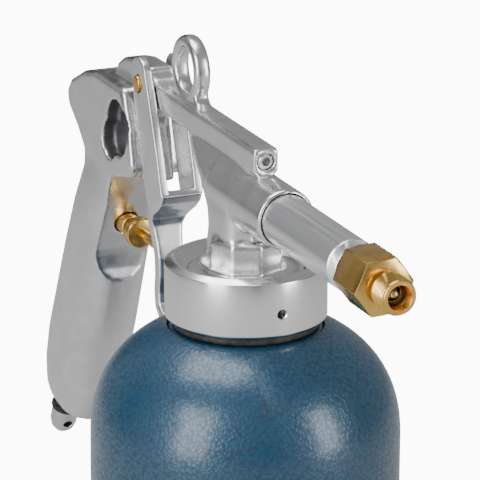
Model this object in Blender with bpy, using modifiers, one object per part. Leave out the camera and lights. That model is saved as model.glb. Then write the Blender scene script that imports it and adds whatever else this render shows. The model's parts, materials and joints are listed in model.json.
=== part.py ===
"""Pressure-cup spray gun: a steel pressure bottle, a light-alloy gun casting screwed on to its neck,
a two-cheek trigger, a push valve in the grip, and an outlet tube with a brass nozzle.

The bottle's axis is Z, with the origin at the middle of its foot. The nozzle points along +X and the
grip trails towards -X. Heights in the head are measured from the lid's underside and written h.
Sizes are in millimetres here and become metres in the helpers.
"""

import math

import bmesh
import bpy
from mathutils import Matrix, Vector

MM = 0.001
GAP = 0.3                 # clearance left between separate pieces

LID_Z = 148.0             # the lid's underside above the bottle's foot
LID_R = 29.25
LID_TOP = 20.1
MOUTH_R = 24.7            # threaded mouth in the lid
MOUTH_H = 13.0

BOTTLE_R = 56.0
BOTTLE_WALL = 1.6
SHOULDER_H = -45.0        # where the bottle's straight side ends
SHOULDER_RISE = 46.3
SHOULDER_POWER = 2.3      # 2 would be an ellipse
FOOT_ROUND = 12.0
COLLAR_R = 28.0
SPUD_R = 24.3
SPUD_BORE = 21.0

BARREL_H = 45.4           # height of the barrel's axis
BOSS_R = 11.0
BOSS_FRONT = 36.0
TUBE_R = 9.3
TUBE_BORE = 7.9
TUBE_BACK = 16.4
TUBE_FRONT = 96.5
PIPE_R = 2.9
PIPE_BORE = 2.0
PIPE_BACK = 1.5
PIPE_FRONT = 112.0
HEX_ACROSS = 19.0
HEX_BACK = 97.9
HEX_FRONT = 116.7
HEX_TURN = 6.0
NOZZLE_THREAD_R = 6.58
NOZZLE_FRONT = 128.2

CHANNEL_H = 61.6          # air channel in the bar
BAR_HALF = 4.8
BAR_FRONT = 18.0

PIVOT_X = -83.0
PIVOT_H = 65.4
PIN_R = 3.1
CHEEK_INNER = 5.2
CHEEK_OUTER = 8.5

GRIP_RAKE = 25.0
VALVE_H = 1.0             # height of the valve's axis
STEM_R = 2.0
STEM_FRONT = -77.3
KNOB_FRONT = -100.0
KNOB_BACK = -104.7
KNOB_R = 6.0
VALVE_BORE = 4.6
SEAT_STEP = -126.8
CHAMBER_END = -145.0
CHAMBER_R = 3.9

NIPPLE_Y = -7.0
NIPPLE_X = -164.9         # where the nipple's axis meets the grip's foot
NIPPLE_H = -86.0

EYE_X = -51.5
EYE_H = 78.0
EYE_R = 12.75
EYE_HOLE_R = 8.2

STEPS = 40                # facets round a large turned piece
SMALL_STEPS = 20          # facets round a small one


# ---------------------------------------------------------------- helpers

def at(x, y, h):
    """A place in the head, with h above the lid's underside, in metres."""
    return Vector((x * MM, y * MM, (LID_Z + h) * MM))


def new_object(name, mesh, group):
    obj = bpy.data.objects.new(name, mesh)
    group.objects.link(obj)
    if group is tools:
        obj.hide_render = True
        obj.display_type = "WIRE"
    return obj


def paint(obj, material):
    obj.data.materials.append(material)
    return obj


def finish_material(name, colour, roughness, metallic):
    material = bpy.data.materials.new(name)
    material.use_nodes = True
    shader = material.node_tree.nodes["Principled BSDF"]
    shader.inputs["Base Color"].default_value = (*colour, 1.0)
    shader.inputs["Roughness"].default_value = roughness
    shader.inputs["Metallic"].default_value = metallic
    return material


TURNS = {
    "Z": (0.0, 0.0, 0.0),
    "X": (0.0, math.radians(90), 0.0),
    "Y": (math.radians(-90), 0.0, 0.0),
}


def turned(name, profile, where, axis="Z", steps=STEPS, ring=False, group=None):
    """A turned piece: (radius, along) pairs running down the outer side, spun about the axis.

    A ring's profile closes on itself. Any other profile starts and ends on the axis.
    """
    mesh = bpy.data.meshes.new(name)
    points = [(r * MM, 0.0, z * MM) for r, z in profile]
    edges = [(i, i + 1) for i in range(len(points) - 1)]
    if ring:
        edges.append((len(points) - 1, 0))
    edges = [e for e in edges if any(points[i][0] for i in e)]
    mesh.from_pydata(points, edges, [])
    obj = new_object(name, mesh, group or parts)
    obj.location = where
    obj.rotation_euler = TURNS[axis]
    screw = obj.modifiers.new("turn", "SCREW")
    screw.steps = steps
    screw.render_steps = steps
    screw.use_merge_vertices = True
    screw.merge_threshold = 0.00001
    return obj


def barrel_piece(name, profile, steps=32, ring=False, group=None):
    """A piece turned about the barrel's axis, with (radius, X) pairs from the front backwards."""
    return turned(name, profile, at(0, 0, BARREL_H), "X", steps, ring, group)


def valve_piece(name, profile, ring=False, group=None):
    """A piece turned about the valve's axis, with (radius, X) pairs from the front backwards."""
    return turned(name, profile, at(0, 0, VALVE_H), "X", SMALL_STEPS, ring, group)


def rod(name, start, end, radius, steps=16, group=None):
    """A plain cylinder between two places."""
    mesh = bpy.data.meshes.new(name)
    bm = bmesh.new()
    length = (end - start).length
    bmesh.ops.create_cone(bm, cap_ends=True, segments=steps, radius1=radius * MM,
                          radius2=radius * MM, depth=length)
    bm.to_mesh(mesh)
    bm.free()
    obj = new_object(name, mesh, group or tools)
    obj.location = (start + end) / 2
    obj.rotation_mode = "QUATERNION"
    obj.rotation_quaternion = (end - start).to_track_quat("Z", "Y")
    return obj


def hexagon(name, across, length, where, axis="Z", turn=0.0, group=None):
    """A hexagonal bar centred at a place; turn is about its own axis, in degrees."""
    mesh = bpy.data.meshes.new(name)
    bm = bmesh.new()
    corner = across / 2 / math.cos(math.radians(30)) * MM
    bmesh.ops.create_cone(bm, cap_ends=True, segments=6, radius1=corner, radius2=corner,
                          depth=length * MM, matrix=Matrix.Rotation(math.radians(turn), 4, "Z"))
    bm.to_mesh(mesh)
    bm.free()
    obj = new_object(name, mesh, group or tools)
    obj.location = where
    obj.rotation_euler = TURNS[axis]
    return obj


def plate(name, outline, half, edge=0.0, y=0.0, segments=2, group=None):
    """A flat outline in the XZ plane given as (X, h) pairs, extruded to both sides of y."""
    curve = bpy.data.curves.new(name, "CURVE")
    curve.dimensions = "2D"
    curve.fill_mode = "BOTH"
    curve.extrude = half * MM
    spline = curve.splines.new("POLY")
    spline.points.add(len(outline) - 1)
    for point, (x, h) in zip(spline.points, outline):
        point.co = (x * MM, h * MM, 0.0, 1.0)
    spline.use_cyclic_u = True
    guide = bpy.data.objects.new(name + "_guide", curve)
    bpy.context.scene.collection.objects.link(guide)
    guide.location = at(0, y, 0)
    guide.rotation_euler = (math.radians(90), 0.0, 0.0)
    bpy.context.view_layer.update()
    ready = guide.evaluated_get(bpy.context.evaluated_depsgraph_get())
    mesh = bpy.data.meshes.new_from_object(ready)
    close_mesh(mesh)
    obj = new_object(name, mesh, group or tools)
    obj.matrix_world = guide.matrix_world
    bpy.data.objects.remove(guide, do_unlink=True)
    if edge:
        bevel = obj.modifiers.new("edge", "BEVEL")
        bevel.width = edge * MM
        bevel.segments = segments
        bevel.limit_method = "ANGLE"
        bevel.angle_limit = math.radians(35)
    return obj


def close_mesh(mesh):
    """Weld a mesh's seams and turn its faces outwards."""
    bm = bmesh.new()
    bm.from_mesh(mesh)
    bmesh.ops.remove_doubles(bm, verts=bm.verts, dist=0.000002)
    bmesh.ops.recalc_face_normals(bm, faces=bm.faces)
    bm.to_mesh(mesh)
    bm.free()


def loft(name, rings, group=None):
    """A closed skin over rings of places that all hold the same number of points."""
    mesh = bpy.data.meshes.new(name)
    bm = bmesh.new()
    rows = [[bm.verts.new(p) for p in ring] for ring in rings]
    count = len(rows[0])
    for low, high in zip(rows, rows[1:]):
        for i in range(count):
            j = (i + 1) % count
            bm.faces.new((low[i], low[j], high[j], high[i]))
    bm.faces.new(rows[0])
    bm.faces.new(rows[-1])
    bm.to_mesh(mesh)
    bm.free()
    close_mesh(mesh)
    return new_object(name, mesh, group or tools)


def combine(target, other, operation):
    modifier = target.modifiers.new(other.name, "BOOLEAN")
    modifier.operation = operation
    modifier.solver = "MANIFOLD"
    modifier.object = other
    return target


def join(target, *others):
    for other in others:
        combine(target, other, "UNION")


def cut(target, *others):
    for other in others:
        combine(target, other, "DIFFERENCE")


def arc(cx, cz, r, start, end, count):
    """Points on an arc, in degrees from +first axis towards +second axis."""
    angles = [math.radians(start + (end - start) * i / count) for i in range(count + 1)]
    return [(cx + r * math.cos(a), cz + r * math.sin(a)) for a in angles]


# ---------------------------------------------------------------- bottle

def shoulder(radius_in, count):
    """The shoulder from the mouth down to the straight side, radius_in inside the outer skin."""
    points = []
    r_big = BOTTLE_R - radius_in
    rise = SHOULDER_RISE - radius_in
    mouth = (COLLAR_R + GAP) / r_big
    first = math.acos(mouth ** (SHOULDER_POWER / 2))
    for i in range(count + 1):
        t = first * (1 - i / count)
        r = r_big * math.cos(t) ** (2 / SHOULDER_POWER)
        h = SHOULDER_H + rise * math.sin(t) ** (2 / SHOULDER_POWER)
        points.append((r, h))
    return points


def make_bottle_shell():
    foot = -LID_Z
    outer = shoulder(0.0, 9)
    outer += arc(BOTTLE_R - FOOT_ROUND, foot + FOOT_ROUND, FOOT_ROUND, 0, -90, 4)
    outer.append((0.0, foot))
    inner_round = FOOT_ROUND - BOTTLE_WALL
    inner = [(0.0, foot + BOTTLE_WALL)]
    inner += arc(BOTTLE_R - FOOT_ROUND, foot + FOOT_ROUND, inner_round, -90, 0, 3)
    inner += reversed(shoulder(BOTTLE_WALL, 6))
    shell = turned("bottle_shell", outer + inner, at(0, 0, 0), steps=48, ring=True)
    return paint(shell, blue)


def make_bottle_neck():
    profile = [(SPUD_R - 1, 12.0), (SPUD_R, 11.0), (SPUD_R, -16.0), (SPUD_BORE, -16.0),
               (SPUD_BORE, 12.0)]
    return paint(turned("bottle_neck", profile, at(0, 0, 0), ring=True), steel)


def make_neck_ring():
    inner = SPUD_R + GAP
    profile = [(inner, -3.4), (COLLAR_R - 1, -3.4), (COLLAR_R, -4.4), (COLLAR_R, -10.0),
               (inner, -10.0)]
    return paint(turned("neck_ring", profile, at(0, 0, 0), ring=True), blue)


def make_neck_gasket():
    profile = [(MOUTH_R, -GAP), (26.6, -GAP), (26.6, -3.1), (MOUTH_R, -3.1)]
    return paint(turned("neck_gasket", profile, at(0, 0, 0), ring=True), rubber)


# ---------------------------------------------------------------- gun casting

def grip_ring(x, h, a, b, rake, count=28, power=2.4):
    """One section of the grip: a rounded oval square to the grip's axis."""
    lean = math.radians(rake)
    forward = Vector((math.cos(lean), 0.0, -math.sin(lean)))
    ring = []
    for i in range(count):
        t = 2 * math.pi * i / count
        c = math.copysign(abs(math.cos(t)) ** (2 / power), math.cos(t))
        s = math.copysign(abs(math.sin(t)) ** (2 / power), math.sin(t))
        ring.append(at(x, 0, h) + forward * (a * c * MM) + Vector((0.0, b * s * MM, 0.0)))
    return ring


def make_grip():
    sections = [
        (-111.0, 46.0, 19.0, 8.6, 12.0),
        (-117.0, 31.0, 18.5, 10.5, 20.0),
        (-124.5, 13.4, 18.5, 12.8, GRIP_RAKE),
        (-131.5, -0.3, 18.5, 14.0, GRIP_RAKE),
        (-140.0, -19.0, 19.0, 14.5, GRIP_RAKE),
        (-150.0, -42.0, 19.5, 14.8, GRIP_RAKE),
        (-158.5, -60.0, 19.5, 14.8, GRIP_RAKE),
        (-163.5, -73.0, 18.8, 14.4, GRIP_RAKE),
        (-166.4, -82.0, 17.6, 13.2, 23.0),
        (-167.5, -85.5, 16.4, 12.0, 22.0),
    ]
    return loft("grip_form", [grip_ring(*s) for s in sections])


def make_grip_core():
    """The cored air chamber inside the grip."""
    sections = [
        (-134.0, -3.0, 8.0, 5.0, GRIP_RAKE),
        (-141.0, -20.0, 13.5, 10.0, GRIP_RAKE),
        (-150.0, -42.0, 14.5, 10.5, GRIP_RAKE),
        (-156.5, -56.5, 14.5, 10.5, GRIP_RAKE),
    ]
    return loft("grip_core", [grip_ring(*s, count=16) for s in sections])


def casting_solids():
    """The solid forms that the casting is joined from."""
    foot = turned("pedestal", [(0.0, 30.0), (12.4, 30.0), (13.6, 28.8), (13.6, 15.0),
                               (0.0, 15.0)], at(0, 0, 0), steps=8, group=tools)
    neck = loft("neck_form", [grip_ring(*section, 0.0, 32, 3.6) for section in (
        (-4.0, 15.0, 14.6, 13.6), (-3.6, 19.5, 13.8, 12.9), (-2.6, 24.5, 12.2, 11.8),
        (-2.0, 32.0, 11.9, 11.3), (-2.4, 38.0, 13.0, 11.2), (-5.0, 44.0, 18.0, 10.6),
        (-9.0, 49.5, 24.5, 9.0), (-13.0, 53.5, 29.5, 7.0), (-16.0, 57.6, 32.0, 5.0))])
    boss = barrel_piece("boss_form", [
        (0.0, BOSS_FRONT), (BOSS_R - 0.9, BOSS_FRONT), (BOSS_R, BOSS_FRONT - 1.1),
        (BOSS_R, -12.0), (BOSS_R - 2.0, -16.5), (0.0, -18.5)], group=tools)
    spine = plate("spine_form", [
        (BAR_FRONT, 66.2), (-73.0, 66.2), (-77.0, 67.3), (-79.2, 69.4), (-80.2, 71.8),
        (-97.0, 71.3), (-107.0, 69.4), (-113.5, 65.6), (-117.5, 59.0), (-119.0, 50.0),
        (-112.0, 30.0), (-100.0, 24.5), (-84.0, 26.0), (-78.3, 28.2), (-82.0, 37.5),
        (-86.0, 47.0), (-84.8, 51.5), (-80.5, 55.6), (-74.0, 57.1), (BAR_FRONT, 57.1),
    ], BAR_HALF, 1.0)
    eye_foot = plate("eye_foot", [(-68.5, 65.6), (-63.5, 68.0), (-60.5, 72.0), (-51.5, 74.0),
                                  (-42.5, 72.0), (-39.5, 68.0), (-34.5, 65.6)], 3.0, 0.8)
    eye = turned("eye_form", [(0.0, 3.2), (EYE_R - 1.7, 3.2), (EYE_R - 0.5, 2.6),
                              (EYE_R, 1.4), (EYE_R, -1.4), (EYE_R - 0.5, -2.6),
                              (EYE_R - 1.7, -3.2), (0.0, -3.2)],
                 at(EYE_X, 0, EYE_H), "Y", 36, group=tools)
    shoulders = plate("shoulder_form", [
        (-93.0, 61.0), (-91.0, 57.5), (-86.4, 45.0), (-83.4, 31.5), (-86.5, 28.0),
        (-104.0, 23.5), (-112.0, 10.0), (-136.0, 10.0), (-134.0, 27.0), (-142.0, 34.5),
        (-150.5, 40.5), (-152.0, 46.0), (-147.5, 51.5), (-134.0, 58.0), (-121.0, 61.0),
    ], 11.2, 3.6, segments=3)
    return [foot, neck, boss, spine, eye_foot, eye, shoulders, make_grip()]


def casting_cutters():
    """The bores, pockets and drilled ways that are cut from the casting."""
    mouth = rod("mouth_cut", at(0, 0, -5), at(0, 0, MOUTH_H), MOUTH_R, STEPS)
    riser = rod("riser_cut", at(0, 0, 10), at(0, 0, 25), 4.3, 20)
    rise = rod("rise_way", at(0, 0, 20), at(0, 0, BARREL_H), 2.6, 16)
    barrel = barrel_piece("barrel_cut", [
        (0.0, 42.0), (9.6, 42.0), (9.6, 16.0), (6.6, 16.0), (6.6, 6.2), (3.2, 6.2),
        (3.2, -3.0), (0.0, -3.0)], group=tools)
    channel = rod("channel_cut", at(-106, 0, CHANNEL_H), at(8.7, 0, CHANNEL_H), 2.4)
    plug_seat = rod("plug_cut", at(8.5, 0, CHANNEL_H), at(22, 0, CHANNEL_H), 3.2, 20)
    drop = rod("drop_way", at(11.5, 0, CHANNEL_H), at(11.5, 0, 50), 1.6, 12)
    pressure = rod("pressure_way", at(9.4, 0, 11), at(9.4, 0, 41), 1.3, 12)
    vent = rod("vent_cut", at(22, 1.5, 8.7), at(33, 1.5, 8.7), 1.15, 16)
    pin = rod("pin_cut", at(PIVOT_X, -15, PIVOT_H), at(PIVOT_X, 15, PIVOT_H), PIN_R + GAP, 24)
    eye_hole = turned("eye_cut", [
        (0.0, 8.0), (EYE_HOLE_R + 1.6, 8.0), (EYE_HOLE_R + 1.6, 3.2), (EYE_HOLE_R + 0.4, 2.6),
        (EYE_HOLE_R, 1.6), (EYE_HOLE_R, -1.6), (EYE_HOLE_R + 0.4, -2.6),
        (EYE_HOLE_R + 1.6, -3.2), (EYE_HOLE_R + 1.6, -8.0), (0.0, -8.0)],
        at(EYE_X, 0, EYE_H), "Y", 36, group=tools)
    pockets = []
    for side in (-1, 1):
        for name, x, h, r in (("a", -98.8, 44.2, 10.9), ("b", -106.3, 37.8, 7.4)):
            pockets.append(rod("pocket_%s%d" % (name, side + 1), at(x, side * 5.2, h),
                               at(x, side * 16, h), r, 28))
    outlet = rod("outlet_way", at(-121.8, 0, VALVE_H), at(-104, 0, CHANNEL_H), 1.7, 12)
    inlet_top = grip_point(34.0)
    inlet = rod("inlet_cut", grip_point(-12.0), inlet_top, 4.3, 20)
    valve = valve_piece("valve_cut", [
        (0.0, -96.0), (VALVE_BORE, -96.0), (VALVE_BORE, SEAT_STEP), (CHAMBER_R, SEAT_STEP),
        (CHAMBER_R, CHAMBER_END), (0.0, CHAMBER_END)], group=tools)
    return [mouth, riser, rise, barrel, channel, plug_seat, drop, pressure, vent, pin, eye_hole,
            *pockets, outlet, inlet, make_grip_core(), valve]


def grip_point(up):
    """A place on the inlet's axis, up millimetres above the grip's foot."""
    lean = math.radians(GRIP_RAKE)
    return at(NIPPLE_X + up * math.sin(lean), NIPPLE_Y, NIPPLE_H + up * math.cos(lean))


def make_gun_body():
    lid = turned("gun_body", [
        (0.0, 17.6), (17.0, 17.6), (21.5, 18.3), (24.0, 19.8), (25.5, 21.8), (26.5, 21.8),
        (LID_R, LID_TOP), (LID_R, 1.0), (LID_R - 1.0, 0.0), (0.0, 0.0)], at(0, 0, 0), steps=56)
    join(lid, *casting_solids())
    # The grip's front is flat round the valve and ends in a steep ledge below it.
    flat = plate("flat_cut", [(-104.5, 25.0), (-107.0, 21.0), (-121.6, -10.5), (-122.7, -14.0),
                              (-122.6, -19.0), (-120.5, -27.5), (-104.0, -31.0), (-80.0, -20.0),
                              (-80.0, 18.0)], 22.0)
    cut(lid, flat, *casting_cutters())
    return paint(lid, alloy)


# ---------------------------------------------------------------- liquid and air ways

def make_riser():
    tube = turned("riser_tube", [(4.0, 24.0), (4.0, 9.0 - LID_Z), (2.8, 9.0 - LID_Z),
                                 (2.8, 24.0)], at(0, 0, 0), steps=20, ring=True)
    nut = hexagon("riser_nut", 15.0, 8.0, at(0, 0, MOUTH_H - GAP - 4.0), group=parts)
    cut(nut, rod("nut_cut", at(0, 0, 0), at(0, 0, 20), 4.3, 20))
    return paint(tube, steel), paint(nut, brass)


def make_barrel():
    tube = barrel_piece("barrel_tube", [
        (TUBE_R - 0.5, TUBE_FRONT), (TUBE_R, TUBE_FRONT - 0.5), (TUBE_R, TUBE_BACK),
        (TUBE_BORE, TUBE_BACK), (TUBE_BORE, TUBE_FRONT)], steps=40, ring=True)
    pipe = barrel_piece("fluid_pipe", [
        (PIPE_R, PIPE_FRONT), (PIPE_R, PIPE_BACK), (PIPE_BORE, PIPE_BACK),
        (PIPE_BORE, PIPE_FRONT)], steps=20, ring=True)
    tip = barrel_piece("fluid_tip", [
        (0.5, 124.6), (1.1, 124.2), (1.55, 123.3), (1.3, 122.4), (2.6, 120.9), (2.6, 112.3),
        (0.5, 112.3)], steps=20, ring=True)
    washer = barrel_piece("nozzle_washer", [(9.2, 97.6), (9.2, 96.8), (7.9, 96.8), (7.9, 97.6)],
                          steps=40, ring=True)
    seal = barrel_piece("barrel_o_ring", arc(4.8, 8.0, 1.45, 0, -315, 7), steps=20, ring=True)
    return paint(tube, steel), paint(pipe, steel), paint(tip, steel), paint(washer, rubber), \
        paint(seal, rubber)


def make_nozzle():
    length = HEX_FRONT - HEX_BACK
    middle = (HEX_FRONT + HEX_BACK) / 2
    corner = HEX_ACROSS / 2 / math.cos(math.radians(30))
    nozzle = hexagon("nozzle", HEX_ACROSS, length, at(middle, 0, BARREL_H), "X", HEX_TURN,
                     group=parts)
    chamfer = barrel_piece("nozzle_chamfer", [
        (0.0, HEX_FRONT + 0.01), (HEX_ACROSS / 2 - 0.4, HEX_FRONT + 0.01),
        (corner + 0.1, HEX_FRONT - 0.9), (corner + 0.1, HEX_BACK + 0.6),
        (HEX_ACROSS / 2, HEX_BACK - 0.01), (0.0, HEX_BACK - 0.01)], steps=36, group=tools)
    combine(nozzle, chamfer, "INTERSECT")
    stem = barrel_piece("nozzle_stem", [
        (0.0, NOZZLE_FRONT), (NOZZLE_THREAD_R - 0.6, NOZZLE_FRONT),
        (NOZZLE_THREAD_R, NOZZLE_FRONT - 0.7), (NOZZLE_THREAD_R, 118.4), (5.8, 118.0),
        (5.8, 110.0), (7.6, 110.0), (7.6, 86.0), (0.0, 86.0)], steps=32, group=tools)
    join(nozzle, stem)
    bore = barrel_piece("nozzle_bore", [
        (0.0, 130.0), (4.74, 130.0), (3.0, 122.0), (2.9, 122.0), (2.9, 119.0), (4.5, 119.0),
        (4.5, 84.0), (0.0, 84.0)], steps=24, group=tools)
    jet = rod("jet_cut", at(117, 0, BARREL_H + 3.7), at(127, 0, BARREL_H + 3.7), 0.75, 12)
    cut(nozzle, bore, jet)
    return paint(nozzle, brass)


def make_channel_plug():
    plug = rod("channel_plug", at(9.2, 0, CHANNEL_H), at(17.4, 0, CHANNEL_H), 2.9, 20, parts)
    socket = hexagon("socket_cut", 3.0, 8.0, at(18.4, 0, CHANNEL_H), "X")
    cut(plug, socket)
    return paint(plug, steel)


# ---------------------------------------------------------------- trigger

def strap_rings():
    """Sections down the crosspiece and finger blade: (X, h, half thickness, half width)."""
    stations = [
        (-60.6, 28.6, 1.5, 8.3), (-63.0, 25.6, 2.1, 8.4), (-67.0, 22.6, 2.4, 8.4),
        (-72.0, 19.8, 2.6, 8.4), (-75.8, 16.6, 2.9, 7.6), (-76.6, 12.0, 2.9, 6.2),
        (-75.0, 6.0, 2.7, 5.5), (-73.2, 0.0, 2.6, 5.3), (-72.8, -7.0, 2.6, 5.3),
        (-73.6, -13.0, 2.6, 5.3), (-72.8, -18.6, 2.6, 5.3), (-68.6, -22.4, 2.3, 5.3),
        (-63.4, -23.3, 1.8, 5.1), (-59.8, -22.2, 1.0, 4.6),
    ]
    rings = []
    for i, (x, h, thick, wide) in enumerate(stations):
        before = stations[max(i - 1, 0)]
        after = stations[min(i + 1, len(stations) - 1)]
        along = Vector((after[0] - before[0], 0.0, after[1] - before[1])).normalized()
        across = Vector((along.z, 0.0, -along.x))
        soft = min(thick, 1.3) * 0.62
        corners = [(1, 1), (1, -1), (-1, -1), (-1, 1)]
        ring = []
        for k, (p, q) in enumerate(corners):
            a = (p * thick, q * (wide - soft))
            b = (p * (thick - soft), q * wide)
            for u, v in ((b, a) if k % 2 else (a, b))[::-1]:
                ring.append(at(x, 0, h) + across * (u * MM) + Vector((0.0, v * MM, 0.0)))
        rings.append(ring)
    return rings


def make_trigger():
    outline = arc(PIVOT_X, 68.2, 7.4, 10, 172, 9)
    outline += [(-87.5, 61.0), (-83.6, 47.0), (-80.0, 37.0), (-77.4, 28.0), (-74.0, 20.2),
                (-69.0, 20.6), (-63.5, 24.0), (-60.2, 28.6), (-61.6, 33.0), (-64.2, 41.0),
                (-70.0, 56.0)]
    half = (CHEEK_OUTER - CHEEK_INNER) / 2
    middle = (CHEEK_OUTER + CHEEK_INNER) / 2
    trigger = plate("trigger", outline, half, 0.7, -middle, group=parts)
    join(trigger, plate("cheek_form", outline, half, 0.7, middle),
         loft("strap_form", strap_rings()))
    hole = rod("trigger_hole", at(PIVOT_X, -15, PIVOT_H), at(PIVOT_X, 15, PIVOT_H),
               PIN_R + GAP, 24)
    cut(trigger, hole)
    return paint(trigger, alloy)


def make_trigger_pin():
    pin = turned("trigger_pin", [
        (0.0, 10.9), (PIN_R - 0.5, 10.9), (PIN_R, 10.4), (PIN_R, 9.9), (2.5, 9.9), (2.5, 8.7),
        (PIN_R, 8.7), (PIN_R, -9.0), (PIN_R - 0.5, -9.5), (0.0, -9.5)],
        at(PIVOT_X, 0, PIVOT_H), "Y", SMALL_STEPS)
    clip = turned("pin_clip", [(5.2, 9.6), (5.2, 9.0), (2.8, 9.0), (2.8, 9.6)],
                  at(PIVOT_X, 0, PIVOT_H), "Y", SMALL_STEPS, ring=True)
    mouth = plate("clip_mouth", [(PIVOT_X - 1.9, PIVOT_H), (PIVOT_X + 1.9, PIVOT_H),
                                 (PIVOT_X + 3.0, PIVOT_H - 8), (PIVOT_X - 3.0, PIVOT_H - 8)],
                  2.0, y=9.3)
    cut(clip, mouth)
    return paint(pin, brass), paint(clip, steel)


# ---------------------------------------------------------------- valve

def make_valve():
    body = valve_piece("valve_body", [
        (3.5, -110.4), (4.3, -111.2), (4.3, -121.0), (3.5, -121.0), (3.5, -118.0),
        (2.3, -118.0), (2.3, -110.4)], ring=True)
    stem = valve_piece("valve_stem", [
        (0.0, STEM_FRONT), (1.2, STEM_FRONT - 0.3), (STEM_R, STEM_FRONT - 1.5),
        (STEM_R, KNOB_FRONT), (KNOB_R - 0.8, KNOB_FRONT), (KNOB_R, KNOB_FRONT - 0.8),
        (KNOB_R, KNOB_BACK + 0.8), (KNOB_R - 0.8, KNOB_BACK), (STEM_R, KNOB_BACK),
        (STEM_R, -126.4), (0.0, -126.4)])
    seal = valve_piece("stem_o_ring", arc(2.75, -119.2, 0.45, 0, -315, 7), ring=True)
    seat = valve_piece("valve_seat", [(4.3, -123.5), (4.3, -126.5), (2.6, -126.5),
                                      (2.6, -123.5)], ring=True)
    poppet = valve_piece("valve_poppet", [
        (0.0, -126.8), (3.1, -126.8), (3.4, -127.1), (3.4, -130.2), (1.8, -130.2),
        (1.8, -134.0), (0.0, -134.0)])
    return paint(body, brass), paint(stem, brass), paint(seal, rubber), paint(seat, brass), \
        paint(poppet, rubber)


def make_valve_spring():
    """A round-wire coil between the poppet and the end of its chamber."""
    front, back, mean, wire, turns, per_turn = -130.8, -144.3, 2.7, 0.4, 5.5, 12
    curve = bpy.data.curves.new("valve_spring", "CURVE")
    curve.dimensions = "3D"
    curve.bevel_depth = wire * MM
    curve.bevel_resolution = 1
    curve.use_fill_caps = True
    spline = curve.splines.new("POLY")
    count = int(turns * per_turn)
    spline.points.add(count)
    for i, point in enumerate(spline.points):
        angle = 2 * math.pi * i / per_turn
        x = front + (back - front) * i / count
        place = at(x, mean * math.cos(angle), VALVE_H + mean * math.sin(angle))
        point.co = (*place, 1.0)
    spring = bpy.data.objects.new("valve_spring", curve)
    parts.objects.link(spring)
    return paint(spring, steel)


# ---------------------------------------------------------------- air inlet

def inlet_piece(name, profile, ring=False):
    """A piece turned about the inlet's axis, with distances up from the grip's foot."""
    piece = turned(name, profile, grip_point(0), steps=SMALL_STEPS, ring=ring)
    piece.rotation_euler = (0.0, math.radians(GRIP_RAKE), 0.0)
    return piece


def make_inlet():
    nipple = inlet_piece("inlet_nipple", [
        (0.0, 20.0), (4.0, 20.0), (4.0, -3.4), (5.2, -3.4), (5.4, -4.2), (5.4, -10.5),
        (4.6, -13.4), (3.0, -15.4), (0.0, -16.2)])
    bore = rod("nipple_bore", grip_point(-9.5), grip_point(24), 2.0)
    lean = math.radians(GRIP_RAKE)
    side = Vector((math.cos(lean), 0.0, -math.sin(lean)))
    port = rod("nipple_port", grip_point(-9.5), grip_point(-9.5) + side * (9 * MM), 1.8)
    cut(nipple, bore, port)
    washer = inlet_piece("inlet_washer", [(6.0, -2.2), (6.0, -3.1), (4.3, -3.1), (4.3, -2.2)],
                         ring=True)
    return paint(nipple, steel), paint(washer, rubber)


# ---------------------------------------------------------------- build

for leftover in list(bpy.data.objects):
    bpy.data.objects.remove(leftover, do_unlink=True)

parts = bpy.data.collections.new("pressure_cup_spray_gun")
tools = bpy.data.collections.new("cutters")
for group_made in (parts, tools):
    bpy.context.scene.collection.children.link(group_made)

blue = finish_material("hammer_blue", (0.02, 0.08, 0.16), 0.35, 0.4)
alloy = finish_material("cast_alloy", (0.72, 0.73, 0.74), 0.28, 1.0)
steel = finish_material("bright_steel", (0.78, 0.78, 0.80), 0.18, 1.0)
brass = finish_material("brass", (0.72, 0.50, 0.20), 0.25, 1.0)
rubber = finish_material("black_rubber", (0.02, 0.02, 0.02), 0.7, 0.0)

make_bottle_shell()
make_bottle_neck()
make_neck_ring()
make_neck_gasket()
make_gun_body()
make_riser()
make_barrel()
make_nozzle()
make_channel_plug()
make_trigger()
make_trigger_pin()
make_valve()
make_valve_spring()
make_inlet()

for piece in parts.objects:
    if piece.type == "MESH":
        piece.data.shade_smooth()
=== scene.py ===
# %% [markdown]
# Pressure-cup spray gun. A steel bottle holds the coating, a cast light-alloy gun screws on to
# its neck, and a brass nozzle sits at the end of a straight tube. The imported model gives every
# position; this lesson gives each piece the surface that the real one has.

import json
import math

import bmesh
import bpy
from mathutils import Matrix, Vector


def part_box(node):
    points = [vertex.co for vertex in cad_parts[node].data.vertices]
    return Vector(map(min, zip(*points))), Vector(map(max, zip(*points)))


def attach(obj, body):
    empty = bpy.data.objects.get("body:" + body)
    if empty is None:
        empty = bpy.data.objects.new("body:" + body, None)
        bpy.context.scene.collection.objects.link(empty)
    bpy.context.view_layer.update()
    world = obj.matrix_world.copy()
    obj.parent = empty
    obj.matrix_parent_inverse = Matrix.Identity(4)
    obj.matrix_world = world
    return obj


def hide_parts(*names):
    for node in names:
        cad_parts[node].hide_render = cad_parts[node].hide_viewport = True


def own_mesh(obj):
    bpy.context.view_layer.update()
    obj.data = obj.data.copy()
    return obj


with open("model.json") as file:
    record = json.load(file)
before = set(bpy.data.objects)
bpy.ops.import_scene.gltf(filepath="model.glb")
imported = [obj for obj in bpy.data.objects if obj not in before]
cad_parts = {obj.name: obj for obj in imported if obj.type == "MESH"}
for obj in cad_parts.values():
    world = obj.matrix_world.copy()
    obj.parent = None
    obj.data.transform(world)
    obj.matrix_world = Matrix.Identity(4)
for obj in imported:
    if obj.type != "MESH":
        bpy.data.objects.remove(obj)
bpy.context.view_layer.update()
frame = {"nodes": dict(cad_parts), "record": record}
nodes = frame["nodes"]

# %% [markdown]
# Most of this object is either turned on a lathe or screwed together, so a few axes place nearly
# everything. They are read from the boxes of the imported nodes, and never typed in twice.

# %% Read the main places
MM = 0.001


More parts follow.
